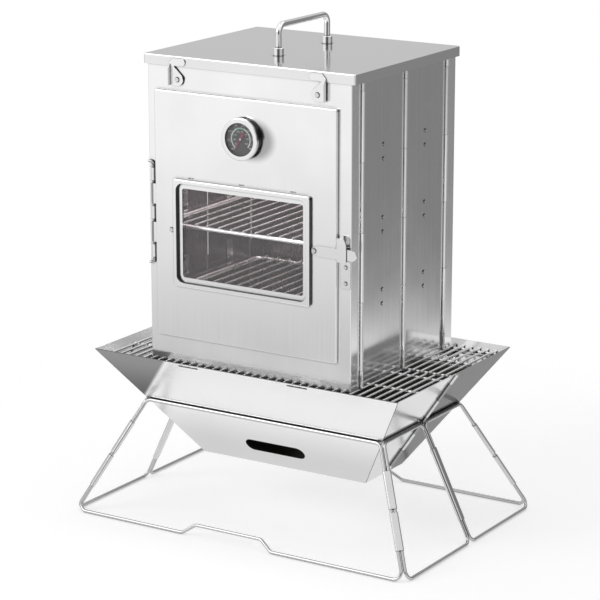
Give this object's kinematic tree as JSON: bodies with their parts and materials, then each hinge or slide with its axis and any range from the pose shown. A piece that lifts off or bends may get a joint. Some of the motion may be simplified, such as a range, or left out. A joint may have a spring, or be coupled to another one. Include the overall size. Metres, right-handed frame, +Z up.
{
  "type": "folding camp oven",
  "caption": "Upright folding sheet-steel oven box with a glazed door, dial thermometer, racks and lid, on a folding fire hopper with grates and a folding wire stand.",
  "frame": {"origin": "on the ground, under the middle of the stand", "axes": "+X to the right along the front, +Y from the front with the door to the back, +Z up"},
  "size_m": [0.509, 0.338, 0.6577],
  "materials": {
    "polished_steel": "bright satin stainless sheet",
    "hopper_steel": "satin stainless sheet",
    "wire": "bright wire and rod",
    "gasket": "matt black",
    "glass": "clear",
    "dial": "matt dark grey",
    "needle": "matt red"
  },
  "bodies": {
    "stand": {"stand_front_frame": "wire", "stand_back_frame": "wire", "stand_right_front_frame": "wire", "stand_right_rear_frame": "wire", "stand_left_front_frame": "wire", "stand_left_rear_frame": "wire", "stand_sleeves_front_right": "polished_steel", "stand_sleeves_back_right": "polished_steel", "stand_sleeves_front_left": "polished_steel", "stand_sleeves_back_left": "polished_steel", "stand_sleeve_right": "polished_steel", "stand_sleeve_left": "polished_steel"},
    "hopper": {"hopper_front_plate": "hopper_steel", "hopper_back_plate": "hopper_steel", "hopper_leaf_right_front": "hopper_steel", "hopper_leaf_right_rear": "hopper_steel", "hopper_leaf_left_front": "hopper_steel", "hopper_leaf_left_rear": "hopper_steel", "hopper_hinge_pins": "wire", "ash_plate": "hopper_steel", "coal_grate": "hopper_steel"},
    "grates": {"grate_front": "wire", "grate_rear": "wire"},
    "oven": {"front_panel": "polished_steel", "back_panel": "polished_steel", "wall_leaf_right_front": "polished_steel", "wall_leaf_right_rear": "polished_steel", "wall_leaf_left_front": "polished_steel", "wall_leaf_left_rear": "polished_steel", "wall_hinge_pins": "wire", "shelf_brackets": "polished_steel", "bracket_rivets": "wire", "lid_clip_rivets": "wire", "door_hinge_lugs": "polished_steel", "door_hinge_rod": "wire", "latch_keeper": "polished_steel", "latch_keeper_rivets": "wire"},
    "rack_upper": {"rack_upper": "wire"},
    "rack_lower": {"rack_lower": "wire"},
    "lid": {"lid": "polished_steel", "lid_handle": "wire", "handle_ferrules": "wire", "handle_screws": "wire"},
    "lid_clip_right": {"lid_clip_right": "polished_steel"},
    "lid_clip_left": {"lid_clip_left": "polished_steel"},
    "door": {"door_panel": "polished_steel", "window_frame": "polished_steel", "window_gasket": "gasket", "window_glass": "glass", "window_clamp": "polished_steel", "window_rivet": "wire", "latch_pivot": "wire", "thermometer_case": "wire", "thermometer_bezel": "wire", "thermometer_dial": "dial", "thermometer_lens": "glass", "thermometer_stem": "wire", "thermometer_nut": "wire"},
    "latch": {"latch_lever": "polished_steel"},
    "needle": {"thermometer_needle": "needle"}
  },
  "joints": [
    {"name": "hopper_lift", "type": "slide", "parent": "stand", "child": "hopper", "axis": [0, 0, 1], "range_m": [0, 0.2]},
    {"name": "grates_lift", "type": "slide", "parent": "hopper", "child": "grates", "axis": [0, 0, 1], "range_m": [0, 0.1]},
    {"name": "oven_lift", "type": "slide", "parent": "grates", "child": "oven", "axis": [0, 0, 1], "range_m": [0, 0.25]},
    {"name": "lid_lift", "type": "slide", "parent": "oven", "child": "lid", "axis": [0, 0, 1], "range_m": [0, 0.2]},
    {"name": "rack_upper_lift", "type": "slide", "parent": "oven", "child": "rack_upper", "axis": [0, 0, 1], "range_m": [0, 0.075]},
    {"name": "rack_lower_lift", "type": "slide", "parent": "oven", "child": "rack_lower", "axis": [0, 0, 1], "range_m": [0, 0.075]},
    {"name": "lid_clip_right_turn", "type": "hinge", "parent": "oven", "child": "lid_clip_right", "pos_m": [0.103, -0.1314, 0.5864], "axis": [0, 1, 0], "range_deg": [0, 90]},
    {"name": "lid_clip_left_turn", "type": "hinge", "parent": "oven", "child": "lid_clip_left", "pos_m": [-0.103, -0.1314, 0.5864], "axis": [0, -1, 0], "range_deg": [0, 90]},
    {"name": "door_swing", "type": "hinge", "parent": "oven", "child": "door", "pos_m": [-0.1423, -0.13163, 0.41225], "axis": [0, 0, -1], "range_deg": [0, 130]},
    {"name": "latch_lift", "type": "hinge", "parent": "door", "child": "latch", "pos_m": [0.1007, -0.13505, 0.3935], "axis": [0, -1, 0], "range_deg": [0, 55]},
    {"name": "needle_turn", "type": "hinge", "parent": "door", "child": "needle", "pos_m": [-0.0034, -0.1401, 0.5222], "axis": [0, 1, 0], "range_deg": [0, 250], "stiffness_Nm_per_rad": 0.001}
  ]
}
